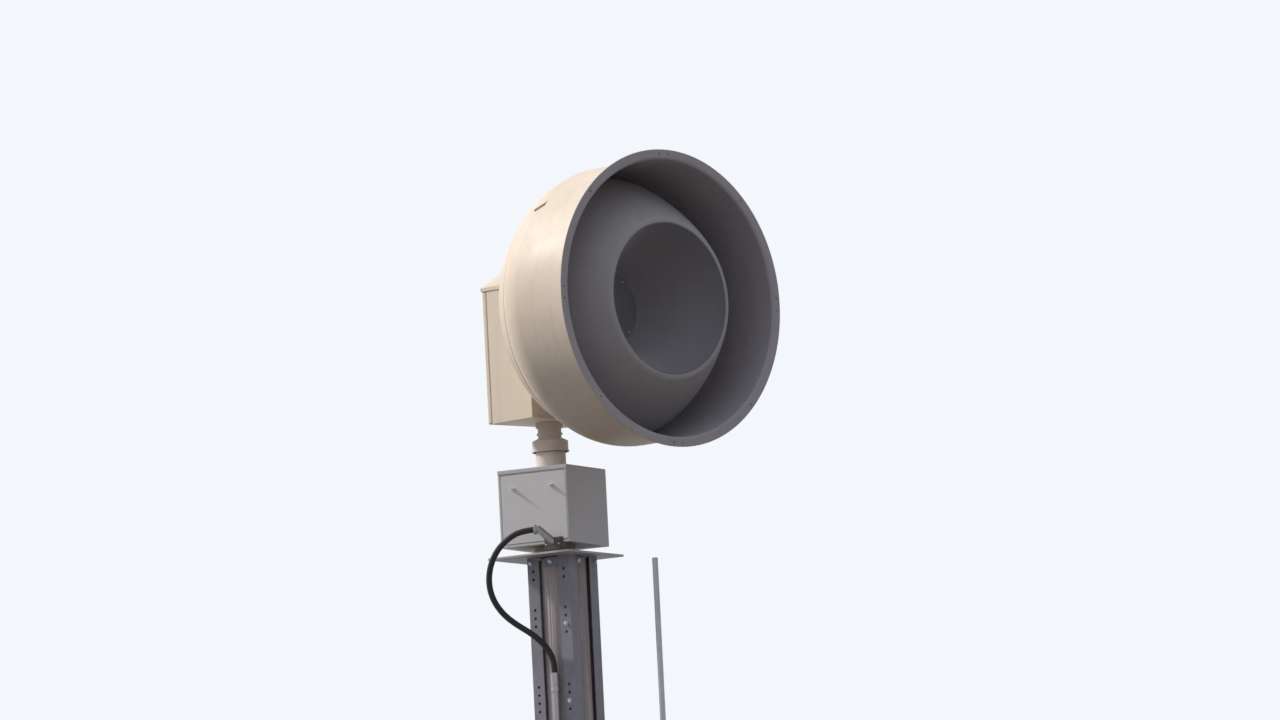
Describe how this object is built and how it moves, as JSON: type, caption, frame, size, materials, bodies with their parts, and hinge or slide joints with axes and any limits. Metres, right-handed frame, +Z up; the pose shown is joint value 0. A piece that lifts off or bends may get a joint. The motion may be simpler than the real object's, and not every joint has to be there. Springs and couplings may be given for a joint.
{
  "type": "civil defense siren tower",
  "caption": "Rotating bowl-horn warning siren with driver housing and rotator box on a steel-legged plate at the top of a wood utility pole.",
  "frame": {"origin": "centre of the pole's flat foot at ground level", "axes": "+Z up along the pole; the legs' flat faces look along X and Y, the conduit side is -Y; the horn rests 12.8 degrees from +X towards -Y"},
  "size_m": [1.2135, 1.3761, 13.4995],
  "materials": {
    "treated_wood": "weathered, checked along the grain",
    "galvanized_steel": "dull galvanized",
    "box_gray": "light gray powder coat",
    "cover_gray": "light gray powder coat",
    "stud_steel": "zinc plated",
    "block_brown": "dark weathered casting",
    "gland_gray": "die cast",
    "black_jacket": "semi-matte black PVC",
    "rigid_steel": "bright galvanized",
    "beige_metal": "weathered beige paint",
    "beige_fiberglass": "satin gelcoat",
    "dark_funnel": "matte dark gray"
  },
  "bodies": {
    "mast": {"wood_pole": "treated_wood", "leg_front_left": "galvanized_steel", "leg_front_right": "galvanized_steel", "leg_back_left": "galvanized_steel", "leg_back_right": "galvanized_steel", "clip_front": "galvanized_steel", "clip_right": "galvanized_steel", "clip_back": "galvanized_steel", "clip_left": "galvanized_steel", "top_plate": "galvanized_steel", "antenna_rod": "galvanized_steel", "antenna_arm_upper": "galvanized_steel", "antenna_arm_lower": "galvanized_steel", "box_pedestal": "galvanized_steel", "rotator_box_body": "box_gray", "rotator_box_lid": "box_gray", "rotator_box_cover": "cover_gray", "cover_studs": "stud_steel", "conduit_block": "block_brown", "conduit_fitting": "gland_gray", "flexible_conduit": "black_jacket", "conduit_coupling": "rigid_steel", "rigid_conduit": "rigid_steel", "conduit_straps": "rigid_steel"},
    "head": {"rotor_pipe": "beige_metal", "pipe_collar": "beige_metal", "pipe_neck": "beige_metal", "housing_floor": "beige_metal", "housing_left_panel": "beige_metal", "housing_right_panel": "beige_metal", "housing_front_panel": "beige_metal", "housing_rear_cover": "beige_metal", "housing_cap": "beige_metal", "bell_upper_left": "beige_fiberglass", "bell_upper_right": "beige_fiberglass", "bell_lower_left": "beige_fiberglass", "bell_lower_right": "beige_fiberglass", "bell_shoulder": "beige_fiberglass", "mouth_rim": "beige_fiberglass", "rear_shell": "beige_fiberglass", "throat_duct": "beige_fiberglass", "inner_plug": "beige_fiberglass", "inner_funnel": "dark_funnel", "throat_plate": "dark_funnel"}
  },
  "joints": [
    {"name": "head_rotation", "type": "hinge", "parent": "mast", "child": "head", "pos_m": [-0.034, 0, 12.2265], "axis": [0, 0, 1], "continuous": true}
  ]
}
